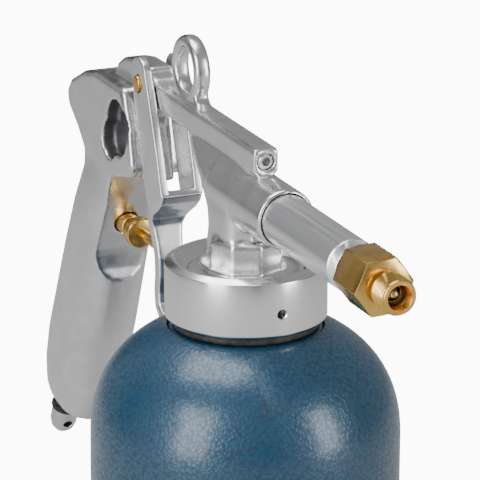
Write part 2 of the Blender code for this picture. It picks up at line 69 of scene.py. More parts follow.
def middle(node):
    """The centre of a node's box."""
    low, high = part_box(node)
    return (low + high) / 2


seal_low, seal_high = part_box("neck_gasket")
SEAL_GAP = 0.3           # between the seal and the lid, in millimetres
LID_Z = seal_high.z + SEAL_GAP * MM
TUBE_AXIS = Vector((0.0, 0.0, middle("barrel_tube").z))
VALVE_AXIS = Vector((0.0, 0.0, middle("valve_stem").z))
PIN = middle("trigger_pin") * Vector((1, 0, 1))
print("lid underside at %.1f mm, barrel axis at %.1f mm" % (LID_Z / MM, TUBE_AXIS.z / MM))

# %% [markdown]
# The camera stands in front of the nozzle and a little above it. A long lens from far away
# keeps the bottle's sides nearly parallel, as in a catalogue picture.

# %% Camera
VIEW_TURN, VIEW_RISE, VIEW_ROLL = 66.96, 17.55, 0.2
VIEW_DISTANCE = 1.43039
VIEW_SIDE, VIEW_UP = -0.00208, 0.02659


def add_camera():
    turn, rise, roll = (math.radians(a) for a in (VIEW_TURN, VIEW_RISE, VIEW_ROLL))
    back = Vector((math.sin(turn) * math.cos(rise), -math.cos(turn) * math.cos(rise),
                   math.sin(rise)))
    right = Vector((math.cos(turn), math.sin(turn), 0.0))
    up = back.cross(right)
    right, up = (right * math.cos(roll) + up * math.sin(roll),
                 up * math.cos(roll) - right * math.sin(roll))
    data = bpy.data.cameras.new("camera")
    data.sensor_width = 36.0
    data.lens = 300.0
    data.clip_start, data.clip_end = 0.05, 20.0
    camera = bpy.data.objects.new("camera", data)
    bpy.context.scene.collection.objects.link(camera)
    place = Vector((0, 0, LID_Z)) + right * VIEW_SIDE + up * VIEW_UP + back * VIEW_DISTANCE
    turned_view = Matrix((right, up, back)).transposed().to_4x4()
    camera.matrix_world = Matrix.Translation(place) @ turned_view
    bpy.context.scene.camera = camera
    print("camera at", [round(v, 3) for v in place])


add_camera()

# %% [markdown]
# Polished metal shows its surroundings, so the studio matters as much as the material. The floor
# and, further on, some dark cards are flat sheets that the camera doesn't see: they only give
# light back to the object or show in its reflections.

# %% Floor
def add_sheet(name, size, material_name):
    """A flat sheet, and the shader that its colour is set on."""
    mesh = bpy.data.meshes.new(name)
    bm = bmesh.new()
    bmesh.ops.create_grid(bm, x_segments=1, y_segments=1, size=0.5)
    bmesh.ops.scale(bm, vec=(size[0], size[1], 1.0), verts=bm.verts)
    bm.to_mesh(mesh)
    bm.free()
    sheet = bpy.data.objects.new(name, mesh)
    bpy.context.scene.collection.objects.link(sheet)
    sheet.visible_camera = False
    material = bpy.data.materials.new(material_name)
    material.use_nodes = True
    mesh.materials.append(material)
    return sheet, material.node_tree.nodes["Principled BSDF"]


def add_floor():
    floor, shader = add_sheet("floor", (12.0, 12.0), "studio_floor")
    shader.inputs["Base Color"].default_value = (0.5, 0.5, 0.5, 1.0)
    shader.inputs["Roughness"].default_value = 0.7


add_floor()

# %% [markdown]
# The sky has two strengths: it lights the object softly, and the camera sees it as bright white
# paper. The Light Path node tells the two kinds of ray apart.

# %% Sky
AMBIENT = 0.32           # light that the sky gives to the object
BACKDROP = 14.0          # brightness of the paper behind it


def add_sky():
    world = bpy.data.worlds.new("studio_sky")
    bpy.context.scene.world = world
    world.use_nodes = True
    tree = world.node_tree
    sky = tree.nodes["Background"]
    sky.inputs["Color"].default_value = (1.0, 1.0, 1.0, 1.0)
    sky.inputs["Strength"].default_value = AMBIENT
    backdrop = tree.nodes.new("ShaderNodeBackground")
    backdrop.inputs["Strength"].default_value = BACKDROP
    rays = tree.nodes.new("ShaderNodeLightPath")
    mix = tree.nodes.new("ShaderNodeMixShader")
    tree.links.new(rays.outputs["Is Camera Ray"], mix.inputs["Fac"])
    tree.links.new(sky.outputs["Background"], mix.inputs[1])
    tree.links.new(backdrop.outputs["Background"], mix.inputs[2])
    tree.links.new(mix.outputs["Shader"], tree.nodes["World Output"].inputs["Surface"])


add_sky()
print("sky:", AMBIENT, "on the object,", BACKDROP, "to the camera")

# %% [markdown]
# Three large soft panels light the object. Their edges draw the long highlights along the grip
# and round the lid.

# %% Lamps
LAMP_AIM = (0.0, 0.0, 0.15)


def add_lamp(name, place, size, power):
    data = bpy.data.lights.new(name, "AREA")
    data.shape = "RECTANGLE"
    data.size, data.size_y = size
    data.energy = power
    lamp = bpy.data.objects.new(name, data)
    bpy.context.scene.collection.objects.link(lamp)
    lamp.location = place
    lamp.rotation_euler = (Vector(LAMP_AIM) - Vector(place)).to_track_quat("-Z", "Y").to_euler()


add_lamp("left_panel", (0.7, -1.5, 0.7), (0.9, 1.6), 34.0)
add_lamp("right_panel", (1.2, 1.0, 0.5), (0.5, 1.2), 16.0)
add_lamp("top_panel", (-0.3, -0.2, 1.6), (1.0, 1.0), 20.0)

# %% [markdown]
# Dark cards put dark bands into polished metal, which is what makes it look like metal. They
# cast no shadow, so the lamps light the object as before.

# %% Dark cards
CARD_AIM = (0.0, 0.0, 0.18)
CARDS = (                # name, place, width and height
    ("front_card", (1.2, -0.15, 0.05), (0.3, 0.7)),
    ("left_card", (0.15, -1.2, 0.2), (0.3, 1.2)),
    ("side_card", (-0.7, -1.0, 0.3), (0.3, 1.2)),
    ("right_card", (0.5, 1.3, 0.3), (0.5, 0.8)),
    ("back_card", (-1.3, 0.1, 0.5), (0.7, 0.8)),
    ("high_card", (0.5, -0.3, 1.2), (0.4, 0.3)),
)


def add_card(name, place, size):
    card, shader = add_sheet(name, size, name)
    card.location = place
    card.rotation_euler = (Vector(CARD_AIM) - Vector(place)).to_track_quat("Z", "Y").to_euler()
    card.visible_shadow = False
    card.visible_diffuse = False
    shader.inputs["Base Color"].default_value = (0.02, 0.02, 0.02, 1.0)


for card_name, card_place, card_size in CARDS:
    add_card(card_name, card_place, card_size)
print(len(CARDS), "dark cards")

# %% [markdown]
# A material here is a Principled shader whose roughness and bump come from noise in Object
# coordinates. A small helper starts each one and hands back the tree, the shader and the
# coordinates, so every finish below only says what is special about it.

# %% Material helpers
def start_material(name, colour, roughness, metallic=0.0, **sockets):
    material = bpy.data.materials.new(name)
    material.use_nodes = True
    tree = material.node_tree
    shader = tree.nodes["Principled BSDF"]
    shader.inputs["Base Color"].default_value = (*colour, 1.0)
    shader.inputs["Roughness"].default_value = roughness
    shader.inputs["Metallic"].default_value = metallic
    for socket, value in sockets.items():
        shader.inputs[socket.replace("_", " ")].default_value = value
    place = tree.nodes.new("ShaderNodeTexCoord").outputs["Object"]
    return material, tree, shader, place


def noise(tree, place, scale, detail=3.0, stretch=None):
    """A noise value in Object space; stretch scales X, Y and Z before the noise is read."""
    if stretch:
        mapping = tree.nodes.new("ShaderNodeMapping")
        mapping.inputs["Scale"].default_value = stretch
        tree.links.new(place, mapping.inputs["Vector"])
        place = mapping.outputs["Vector"]
    node = tree.nodes.new("ShaderNodeTexNoise")
    node.inputs["Scale"].default_value = scale
    node.inputs["Detail"].default_value = detail
    tree.links.new(place, node.inputs["Vector"])
    return node.outputs["Fac"]


def spread(tree, value, low, high, from_low=0.3, from_high=0.7):
    """Map a value's middle range on to low to high."""
    node = tree.nodes.new("ShaderNodeMapRange")
    node.inputs["From Min"].default_value = from_low
    node.inputs["From Max"].default_value = from_high
    node.inputs["To Min"].default_value = low
    node.inputs["To Max"].default_value = high
    tree.links.new(value, node.inputs["Value"])
    return node.outputs["Result"]


def blend_colours(tree, value, stops):
    """A colour ramp through (position, colour) stops."""
    ramp = tree.nodes.new("ShaderNodeValToRGB")
    while len(ramp.color_ramp.elements) < len(stops):
        ramp.color_ramp.elements.new(0.5)
    for element, (position, colour) in zip(ramp.color_ramp.elements, stops):
        element.position = position
        element.color = (*colour, 1.0)
    tree.links.new(value, ramp.inputs["Fac"])
    return ramp.outputs["Color"]


def bump(tree, shader, value, depth, strength=1.0, under=None):
    """Raise the surface by a value; under is an earlier bump that this one sits on."""
    node = tree.nodes.new("ShaderNodeBump")
    node.inputs["Distance"].default_value = depth
    node.inputs["Strength"].default_value = strength
    tree.links.new(value, node.inputs["Height"])
    if under:
        tree.links.new(under, node.inputs["Normal"])
    tree.links.new(node.outputs["Normal"], shader.inputs["Normal"])
    return node.outputs["Normal"]


# %% [markdown]
# The gun is an aluminium casting that was polished on a belt. It keeps a faint waviness, slight
# cloudy patches in the shine and fine lines along the belt's direction.

# %% Polished casting
def polished_casting():
    material, tree, shader, place = start_material(
        "polished_casting", (0.80, 0.80, 0.81), 0.24, 1.0)
    cloud = noise(tree, place, 90.0, 4.0)
    lines = noise(tree, place, 260.0, 4.0, (1.0, 1.0, 0.14))
    tone = blend_colours(tree, cloud, [(0.3, (0.66, 0.66, 0.67)), (0.7, (0.78, 0.78, 0.79))])
    tree.links.new(tone, shader.inputs["Base Color"])
    tree.links.new(spread(tree, cloud, 0.20, 0.31), shader.inputs["Roughness"])
    wave = bump(tree, shader, noise(tree, place, 45.0, 2.0), 0.00012, 0.6)
    bump(tree, shader, lines, 0.000012, 0.5, wave)
    return material


casting_finish = polished_casting()

# %% [markdown]
# A polishing belt can't reach into the pockets of the grip, so they stay rough, as they left the
# mould. Their dark colour is painted shade for the shade inside those recesses.

# %% Rough casting with painted shade
def rough_casting_painted_shade():
    # The dark base colour is painted shade for the pockets; the roughness and grain are the
    # unpolished surface.
    material, tree, shader, place = start_material("rough_casting_painted_shade", (0.16, 0.16, 0.17), 0.5, 1.0)
    grain = noise(tree, place, 500.0, 4.0)
    tree.links.new(spread(tree, grain, 0.35, 0.6), shader.inputs["Roughness"])
    bump(tree, shader, grain, 0.00008, 0.6)
    return material


rough_painted_shade_finish = rough_casting_painted_shade()

# %% [markdown]
# The lid is part of the same casting but was faced on a lathe. A lathe leaves fine grooves that
# run round the axis, so the noise is squeezed along Z only.

# %% Turned lid
def turned_lid():
    material, tree, shader, place = start_material(
        "turned_lid", (0.80, 0.80, 0.81), 0.2, 1.0)
    grooves = noise(tree, place, 30.0, 5.0, (1.0, 1.0, 90.0))
    cloud = noise(tree, place, 60.0, 3.0)
    tree.links.new(spread(tree, cloud, 0.16, 0.26), shader.inputs["Roughness"])
    bump(tree, shader, grooves, 0.000015, 0.5)
    return material


lid_finish = turned_lid()

# %% [markdown]
# The outlet tube is bright drawn steel, paler and more even than the casting. Fine drawing lines
# run along X.

# %% Drawn tube
def drawn_tube():
    material, tree, shader, place = start_material(
        "drawn_tube", (0.86, 0.87, 0.89), 0.3, 1.0)
    lines = noise(tree, place, 500.0, 3.0, (0.03, 1.0, 1.0))
    tree.links.new(spread(tree, lines, 0.26, 0.36), shader.inputs["Roughness"])
    bump(tree, shader, lines, 0.000006, 0.4)
    return material


tube_finish = drawn_tube()

# %% [markdown]
# Small steel parts, such as the screw, the clip and the neck, are bright zinc plated.

# %% Plated steel
def plated_steel():
    material, tree, shader, place = start_material(
        "plated_steel", (0.62, 0.62, 0.64), 0.28, 1.0)
    cloud = noise(tree, place, 300.0, 3.0)
    tree.links.new(spread(tree, cloud, 0.2, 0.38), shader.inputs["Roughness"])
    bump(tree, shader, cloud, 0.00002, 0.3)
    return material


steel_finish = plated_steel()

# %% [markdown]
# The nozzle and the valve are machined brass. Brass tarnishes unevenly, so both the colour and
# the roughness drift a little.

# %% Machined brass
def machined_brass():
    material, tree, shader, place = start_material(
        "machined_brass", (0.78, 0.53, 0.18), 0.24, 1.0)
    cloud = noise(tree, place, 120.0, 4.0)
    lines = noise(tree, place, 900.0, 2.0, (1.0, 0.1, 0.1))
    tone = blend_colours(tree, cloud, [(0.3, (0.62, 0.37, 0.09)), (0.7, (0.80, 0.52, 0.16))])
    tree.links.new(tone, shader.inputs["Base Color"])
    tree.links.new(spread(tree, cloud, 0.19, 0.32), shader.inputs["Roughness"])
    bump(tree, shader, lines, 0.00001, 0.4)
    return material


brass_finish = machined_brass()

# %% [markdown]
# Hammer paint dries into small round cells with a pale metallic middle and a dark edge. Voronoi
# cells give the pattern and its shallow dimples, noise breaks their outlines, and a clear coat
# lies over it all.

# %% Hammered blue paint
def hammered_blue():
    material, tree, shader, place = start_material(
        "hammered_blue", (0.02, 0.10, 0.19), 0.4, 0.25,
        Coat_Weight=0.6, Coat_Roughness=0.22)
    wobble = tree.nodes.new("ShaderNodeTexNoise")
    wobble.inputs["Scale"].default_value = 500.0
    wobble.inputs["Detail"].default_value = 2.0
    tree.links.new(place, wobble.inputs["Vector"])
    shift = tree.nodes.new("ShaderNodeVectorMath")
    shift.operation = "MULTIPLY_ADD"
    shift.inputs[1].default_value = (0.0016, 0.0016, 0.0016)
    tree.links.new(wobble.outputs["Color"], shift.inputs[0])
    tree.links.new(place, shift.inputs[2])
    cells = tree.nodes.new("ShaderNodeTexVoronoi")
    cells.inputs["Scale"].default_value = 760.0
    tree.links.new(shift.outputs["Vector"], cells.inputs["Vector"])
    tone = blend_colours(tree, cells.outputs["Distance"], [
        (0.0, (0.014, 0.083, 0.150)), (0.45, (0.008, 0.056, 0.108)),
        (0.8, (0.004, 0.032, 0.068))])
    tree.links.new(tone, shader.inputs["Base Color"])
    tree.links.new(spread(tree, cells.outputs["Distance"], 0.3, 0.5, 0.2, 0.8),
                   shader.inputs["Roughness"])
    bump(tree, shader, cells.outputs["Distance"], 0.00025, 0.5)
    return material


paint_finish = hammered_blue()

# %% [markdown]
# Seals are black rubber: dark, dull and slightly dusty.

# %% Black rubber
def black_rubber():
    material, tree, shader, place = start_material("black_rubber", (0.02, 0.02, 0.02), 0.6)
    dust = noise(tree, place, 400.0, 4.0)
    tone = blend_colours(tree, dust, [(0.4, (0.012, 0.012, 0.013)), (0.8, (0.05, 0.05, 0.05))])
    tree.links.new(tone, shader.inputs["Base Color"])
    bump(tree, shader, dust, 0.00002, 0.4)
    return material


rubber_finish = black_rubber()

# %% [markdown]
# Nodes that stay as they are get these finishes straight away.

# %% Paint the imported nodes
FINISHES = {
    "cast_alloy": casting_finish, "bright_steel": steel_finish, "brass": brass_finish,
    "hammer_blue": paint_finish, "black_rubber": rubber_finish,
}
for subpart in frame["record"]["subparts"]:
    slots = nodes[subpart["node"]].data.materials
    slots.clear()
    slots.append(FINISHES[subpart["material_slot"]])
print(len(nodes), "nodes painted")

# %% [markdown]
# A turned piece is a profile spun about its axis. The helper writes the half outline, spins it
# with a Screw modifier and keeps the result as a plain mesh that lies in place.

# %% Lathe helper
AXES = {
    "Z": Matrix.Identity(4),
    "X": Matrix.Rotation(math.radians(90), 4, "Y"),
    "Y": Matrix.Rotation(math.radians(-90), 4, "X"),
}


def settle(obj):
    """Turn an object and its modifiers into a plain mesh with its place in its vertices."""
    bpy.context.view_layer.update()
    ready = obj.evaluated_get(bpy.context.evaluated_depsgraph_get())
    mesh = bpy.data.meshes.new_from_object(ready)
    mesh.transform(obj.matrix_world)
    obj.modifiers.clear()
    obj.data = mesh
    obj.matrix_world = Matrix.Identity(4)
    return obj


def tidy(mesh, merge=0.000002):
    """Merge doubled points and turn the faces outwards."""
    bm = bmesh.new()
    bm.from_mesh(mesh)
    bmesh.ops.remove_doubles(bm, verts=bm.verts, dist=merge)
    bmesh.ops.recalc_face_normals(bm, faces=bm.faces)
    bm.to_mesh(mesh)
    bm.free()


def add_object(name, mesh):
    obj = bpy.data.objects.new(name, mesh)
    bpy.context.scene.collection.objects.link(obj)
    return obj


def lathe(name, profile, place, axis="Z", material=None, steps=96, ring=False, sharp=35):
    """Spin (radius, along) pairs, in millimetres from place, about an axis."""
    mesh = bpy.data.meshes.new(name)
    points = [(r * MM, 0.0, z * MM) for r, z in profile]
    edges = [(i, i + 1) for i in range(len(points) - 1)]
    if ring:
        edges.append((len(points) - 1, 0))
    edges = [e for e in edges if any(points[i][0] for i in e)]
    mesh.from_pydata(points, edges, [])
    obj = add_object(name, mesh)
    obj.matrix_world = Matrix.Translation(place) @ AXES[axis]
    screw = obj.modifiers.new("spin", "SCREW")
    screw.steps = screw.render_steps = steps
    screw.use_merge_vertices = True
    screw.merge_threshold = 0.000005
    settle(obj)
    tidy(obj.data)
    shade(obj, sharp)
    if material:
        obj.data.materials.append(material)
    return obj


def shade(obj, sharp=35):
    obj.data.shade_smooth()
    obj.data.set_sharp_from_angle(angle=math.radians(sharp))


def arc(cx, cz, r, start, end, count):
    """Points on an arc, in degrees."""
    angles = [math.radians(start + (end - start) * i / count) for i in range(count + 1)]
    return [(cx + r * math.cos(a), cz + r * math.sin(a)) for a in angles]


def keep(obj, body, slot, *replaced):
    """Say which body a piece rides on and the nodes it stands for; slot, the finish slot, is not
    used.
    """
    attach(obj, body)
    if replaced:
        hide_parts(*replaced)
    print("%-16s %6d faces" % (obj.name, len(obj.data.polygons)))
    return obj


lid_place = Vector((0, 0, LID_Z))

# %% [markdown]
# The bottle is a deep-drawn steel shell. Its shoulder is a superellipse: fuller than a circle,
# then flattening towards the neck. A fine profile keeps its highlights smooth.

# %% Bottle shell
BOTTLE_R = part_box("bottle_shell")[1].x / MM
COLLAR_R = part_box("neck_ring")[1].x / MM
SHOULDER_H, SHOULDER_RISE, SHOULDER_POWER = -45.0, 46.3, 2.3
WALL, FOOT_ROUND = 1.6, 12.0


def shoulder_profile(inset, count):
    wide, rise = BOTTLE_R - inset, SHOULDER_RISE - inset
    first = math.acos(((COLLAR_R + 0.3) / wide) ** (SHOULDER_POWER / 2))
    angles = [first * (1 - i / count) for i in range(count + 1)]
    return [(wide * math.cos(t) ** (2 / SHOULDER_POWER),
             SHOULDER_H + rise * math.sin(t) ** (2 / SHOULDER_POWER)) for t in angles]


def make_bottle():
    foot = -LID_Z / MM
    outer = shoulder_profile(0.0, 40)
    outer += arc(BOTTLE_R - FOOT_ROUND, foot + FOOT_ROUND, FOOT_ROUND, 0, -90, 14)
    outer.append((0.0, foot))
    inner = [(0.0, foot + WALL)]
    inner += arc(BOTTLE_R - FOOT_ROUND, foot + FOOT_ROUND, FOOT_ROUND - WALL, -90, 0, 8)
    inner += reversed(shoulder_profile(WALL, 20))
    shell = lathe("bottle", outer + inner, lid_place, steps=160, ring=True,
                  material=paint_finish)
    return keep(shell, "bottle", "hammer_blue", "bottle_shell")


make_bottle()

# %% [markdown]
# A painted collar stiffens the bottle's mouth, and a rubber ring lies on it. The lid squeezes
# that ring, so only its dark edge shows between the paint and the bright metal.

# %% Collar and sealing ring
def make_neck_rings():
    low, high = (v.z / MM - LID_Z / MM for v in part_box("neck_ring"))
    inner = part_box("neck_gasket")[1].x / MM - 1.9
    collar = lathe("collar", [(24.6, high)] + arc(COLLAR_R - 1.2, high - 1.2, 1.2, 90, 0, 5)
                   + [(COLLAR_R, low), (24.6, low)], lid_place, ring=True, material=paint_finish)
    keep(collar, "bottle", "hammer_blue", "neck_ring")
    low, high = ((v.z - LID_Z) / MM for v in (seal_low, seal_high))
    outer = seal_high.x / MM
    round_edge = arc(outer - 0.9, high - 0.9, 0.9, 90, 0, 4)
    round_edge += arc(outer - 0.9, low + 0.9, 0.9, 0, -90, 4)
    ring = lathe("sealing_ring", [(inner, high)] + round_edge + [(inner, low)], lid_place,
                 ring=True, material=rubber_finish)
    keep(ring, "seal", "black_rubber", "neck_gasket")


make_neck_rings()

# %% [markdown]
# A thread is one ridge wound round a cylinder. Geometry Nodes make it as a sleeve: a flat grid
# is wrapped into a tube, and each point's radius follows a triangle wave of its height minus its
# angle, which is what makes the ridge climb. The ridge fades out at both ends, the first and
# last rows close the sleeve inside, and the seam is merged.

# %% Threaded sleeve as a node tree
def build_thread_tree():
    tree = bpy.data.node_groups.new("threaded_sleeve", "GeometryNodeTree")
    face = tree.interface
    face.new_socket("Geometry", in_out="OUTPUT", socket_type="NodeSocketGeometry")
    for name, kind in (("Bore", "Float"), ("Root", "Float"), ("Depth", "Float"),
                       ("Pitch", "Float"), ("Length", "Float"), ("Rows", "Int"),
                       ("Round", "Int"), ("Finish", "Material")):
        face.new_socket(name, in_out="INPUT", socket_type="NodeSocket" + kind)
    given = tree.nodes.new("NodeGroupInput").outputs

    def maths(operation, *values):
        node = tree.nodes.new("ShaderNodeMath")
        node.operation = operation
        for socket, value in zip(node.inputs, values):
            if isinstance(value, (int, float)):
                socket.default_value = value
            else:
                tree.links.new(value, socket)
        return node.outputs[0]

    grid = tree.nodes.new("GeometryNodeMeshGrid")
    grid.inputs["Size X"].default_value = 1.0
    grid.inputs["Size Y"].default_value = 1.0
    tree.links.new(maths("ADD", given["Round"], 1), grid.inputs["Vertices X"])
    tree.links.new(maths("ADD", given["Rows"], 1), grid.inputs["Vertices Y"])
    place = tree.nodes.new("GeometryNodeInputPosition")
    split = tree.nodes.new("ShaderNodeSeparateXYZ")
    tree.links.new(place.outputs[0], split.inputs[0])
    round_share = maths("ADD", split.outputs["X"], 0.5)
    row = maths("MULTIPLY", maths("ADD", split.outputs["Y"], 0.5), given["Rows"])
    last = maths("SUBTRACT", given["Rows"], 0.5)
    outside = maths("MULTIPLY", maths("GREATER_THAN", row, 0.5),
                    maths("LESS_THAN", row, maths("SUBTRACT", given["Rows"], 1.5)))
    along = maths("DIVIDE", maths("SUBTRACT", row, 1.0), maths("SUBTRACT", given["Rows"], 3.0))
    along = maths("MINIMUM", maths("MAXIMUM", along, 0.0), 1.0)
    height = maths("MULTIPLY", maths("MULTIPLY", along, given["Length"]),
                   maths("LESS_THAN", row, last))
    climb = maths("SUBTRACT", maths("DIVIDE", height, given["Pitch"]), round_share)
    wave = maths("PINGPONG", climb, 0.5)
    from_end = maths("MINIMUM", height, maths("SUBTRACT", given["Length"], height))
    fade = maths("MINIMUM", maths("DIVIDE", from_end, given["Pitch"]), 1.0)
    ridge = maths("MULTIPLY", maths("MULTIPLY", wave, 2.0), given["Depth"])
    radius = maths("ADD", given["Root"], maths("MULTIPLY", ridge, fade))
    radius = maths("ADD", maths("MULTIPLY", radius, outside),
                   maths("MULTIPLY", given["Bore"], maths("SUBTRACT", 1.0, outside)))
    angle = maths("MULTIPLY", round_share, 2 * math.pi)
    wrapped = tree.nodes.new("ShaderNodeCombineXYZ")
    tree.links.new(maths("MULTIPLY", radius, maths("COSINE", angle)), wrapped.inputs["X"])
    tree.links.new(maths("MULTIPLY", radius, maths("SINE", angle)), wrapped.inputs["Y"])
    tree.links.new(height, wrapped.inputs["Z"])
    move = tree.nodes.new("GeometryNodeSetPosition")
    tree.links.new(grid.outputs["Mesh"], move.inputs["Geometry"])
    tree.links.new(wrapped.outputs[0], move.inputs["Position"])
    merge = tree.nodes.new("GeometryNodeMergeByDistance")
    merge.inputs["Distance"].default_value = 0.000001
    real = tree.nodes.new("GeometryNodeRealizeInstances")
    paint = tree.nodes.new("GeometryNodeSetMaterial")
    tree.links.new(given["Finish"], paint.inputs["Material"])
    out = tree.nodes.new("NodeGroupOutput")
    for one, two in ((move, merge), (merge, real), (real, paint), (paint, out)):
        tree.links.new(one.outputs[0], two.inputs[0])
    return tree


thread_tree = build_thread_tree()
print("thread tree:", len(thread_tree.nodes), "nodes")

# %% [markdown]
# A sleeve is made on an empty mesh, and its sizes are set by each socket's identifier. The
# result becomes a plain mesh, turned to its axis.

# %% Make one thread
NECK_PITCH, TUBE_PITCH, NOZZLE_PITCH = 2.0, 0.9, 1.337
ROWS_PER_TURN = 8


def thread(name, bore, root, crest, pitch, length, place, axis, material, around=72):
    obj = add_object(name, bpy.data.meshes.new(name))
    made = obj.modifiers.new("thread", "NODES")
    made.node_group = thread_tree
    sizes = {
        "Bore": bore * MM, "Root": root * MM, "Depth": (crest - root) * MM,
        "Pitch": pitch * MM, "Length": length * MM, "Rows": int(length / pitch * ROWS_PER_TURN) + 3,
        "Round": around, "Finish": material,
    }
    for socket in thread_tree.interface.items_tree:
        if socket.in_out == "INPUT":
            made[socket.identifier] = sizes[socket.name]
    obj.matrix_world = Matrix.Translation(place) @ AXES[axis]
    settle(obj)
    tidy(obj.data)
    shade(obj, 25)
    print("%-16s %.2f mm pitch, %d faces" % (name, pitch, len(obj.data.polygons)))
    return obj


# %% [markdown]
# Turned forms are joined and cut with Boolean modifiers. The manifold solver is quick, but it
# needs closed meshes. A lathe gives one when its profile starts and ends on the axis or runs in
# a ring, and a threaded sleeve is closed by its first and last rows.

# %% Joining and cutting
def fuse(base, others, operation="UNION"):
    """Join or cut a piece with others, which are used up."""
    for other in others:
        step = base.modifiers.new(other.name, "BOOLEAN")
        step.operation = operation
        step.solver = "MANIFOLD"
        step.object = other
    settle(base)
    for other in others:
        bpy.data.objects.remove(other, do_unlink=True)
    return base


# %% [markdown]
# The bottle's neck is a short steel pipe welded into the collar. Its coarse thread carries the
# lid, and it shows as soon as the head is unscrewed and lifted.

# %% Threaded neck
def make_neck():
    low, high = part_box("bottle_neck")
    outer = high.x / MM
    bottom, top = (low.z - LID_Z) / MM, (high.z - LID_Z) / MM
    pipe = lathe("threaded_neck", [(22.6, top), (22.9, top - 0.4), (22.9, bottom + 0.4),
                                   (22.6, bottom), (21.0, bottom), (21.0, top)],
                 lid_place, ring=True, material=steel_finish)
    start = lid_place + Vector((0, 0, -4.0 * MM))
    winding = thread("neck_thread", 22.0, 23.1, outer - 0.05, NECK_PITCH, top + 3.8, start, "Z",
                     steel_finish, 96)
    fuse(pipe, [winding])
    shade(pipe, 25)
    keep(pipe, "bottle", "bright_steel", "bottle_neck")


make_neck()

# %% [markdown]
# Castings have soft edges everywhere, because molten metal can't fill a sharp corner and
# polishing rounds what is left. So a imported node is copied, rebuilt from small voxels and
# smoothed, which turns its hard edges and joints into fillets. Smaller voxels keep thinner walls.

# %% Soft copies
def soft_copy(name, node, voxel, rounds, material, cutters=()):
    """A voxel-rebuilt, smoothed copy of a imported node."""
    obj = add_object(name, nodes[node].data.copy())
    tidy(obj.data, 0.00001)
    if cutters:
        fuse(obj, cutters, "DIFFERENCE")
    rebuild = obj.modifiers.new("voxels", "REMESH")
    rebuild.mode = "VOXEL"
    rebuild.voxel_size = voxel * MM
    soften = obj.modifiers.new("soften", "SMOOTH")
    soften.factor = 0.5
    soften.iterations = rounds
    settle(obj)
    obj.data.materials.clear()
    obj.data.materials.append(material)
    obj.data.shade_smooth()
    return obj


# %% [markdown]
# The body is the largest casting. Its lathe-turned lid keeps crisp edges, so the lid is cut away
# here and made as a piece of its own. Faces inside the grip's two round pockets are left rough,
# and their dark colour is painted shade.

# %% Cast body
LID_SPLIT_R = 20.9
POCKETS = ((-98.8, 44.2, 11.4), (-106.3, 37.8, 7.9))     # x, height and radius
POCKET_DEPTH = (4.6, 10.4)                               # nearest and farthest from the middle


def make_casting():
    away = lathe("lid_room", [(LID_SPLIT_R, 22.0), (34.0, 22.0), (34.0, -4.0),
                              (LID_SPLIT_R, -4.0)], lid_place, ring=True)
    body = soft_copy("cast_body", "gun_body", 0.7, 8, casting_finish, [away])
    body.data.materials.append(rough_painted_shade_finish)
    for face in body.data.polygons:
        x, y, h = (face.center - Vector((0, 0, LID_Z))) / MM
        in_pocket = any((x - px) ** 2 + (h - ph) ** 2 < r * r for px, ph, r in POCKETS)
        # Faces in the pockets get the second material: a rough surface with painted shade for
        # colour.
        if in_pocket and POCKET_DEPTH[0] < abs(y) < POCKET_DEPTH[1]:
            face.material_index = 1
    keep(body, "gun", "cast_alloy", "gun_body")


make_casting()

# %% [markdown]
# The lid is turned: a straight rim, chamfers, and a shallow dish on top round the pedestal. A
# small hole through the rim lets the pressure out while the head is being unscrewed.

# %% The lid
LID_R, MOUTH_R, MOUTH_H = 29.25, 24.7, 13.0


def make_lid():
    dish = [(LID_SPLIT_R, 17.7), (22.0, 18.2), (23.3, 19.0), (24.4, 20.2), (25.2, 21.5)]
    rim = arc(25.65, 21.35, 0.45, 135, 90, 3) + [
        (26.35, 21.8), (26.7, 21.65), (28.95, 20.45), (29.18, 20.2), (LID_R, 19.9)]
    below = [(LID_R, 1.3), (29.15, 0.95), (28.5, 0.2), (28.15, 0.0), (MOUTH_R, 0.0),
             (MOUTH_R, MOUTH_H), (LID_SPLIT_R, MOUTH_H)]
    profile = dish + rim + below
    lid = lathe("lid", profile, lid_place, ring=True, steps=160, material=lid_finish, sharp=25)
    hole_place = lid_place + Vector((0.0, 1.5 * MM, 8.7 * MM))
    hole = lathe("relief_hole", [(0.0, 33.0), (2.0, 33.0), (2.0, 29.0), (1.6, 28.6),
                                 (1.6, 22.0), (0.0, 22.0)], hole_place, "X", steps=32)
    fuse(lid, [hole], "DIFFERENCE")
    shade(lid, 25)
    keep(lid, "gun", "cast_alloy")


make_lid()

# %% [markdown]
# The outlet tube is plain drawn tube. Its front end carries a fine thread, of which the last few
# turns show behind the nozzle.

# %% Outlet tube
TUBE_THREADED = 6.2      # length of the thread at the tube's front
TUBE_BORE_R = 7.9


def make_tube():
    low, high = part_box("barrel_tube")
    back, front = low.x / MM, high.x / MM
    outer = high.y / MM
    cut = front - TUBE_THREADED
    tube = lathe("outlet_tube", [(outer - 0.7, front - 0.2), (outer - 0.7, cut + 0.7),
                                 (outer - 0.15, cut), (outer, cut - 0.2), (outer, back),
                                 (TUBE_BORE_R, back), (TUBE_BORE_R, front - 0.2)],
                 TUBE_AXIS, "X", ring=True, steps=128, material=tube_finish, sharp=25)
    start = TUBE_AXIS + Vector(((cut + 0.1) * MM, 0, 0))
    winding = thread("tube_thread", outer - 1.0, outer - 0.6, outer, TUBE_PITCH,
                     front - cut - 0.2, start, "X", tube_finish, 96)
    fuse(tube, [winding])
    shade(tube, 25)
    keep(tube, "gun", "bright_steel", "barrel_tube")


make_tube()

# %% [markdown]
# The nozzle is cut from hexagonal brass bar: its corners are chamfered on the lathe, a relief
# groove follows, and a pipe thread carries whatever is screwed on in front. The rim is flat, and
# a cone leads in to the jet.

# %% Brass nozzle
HEX_ACROSS, HEX_BACK, HEX_FRONT, HEX_TURN = 19.0, 97.9, 116.7, 6.0
THREAD_START = 118.3     # where the nozzle's thread begins, along X
THREAD_CREST = 6.58


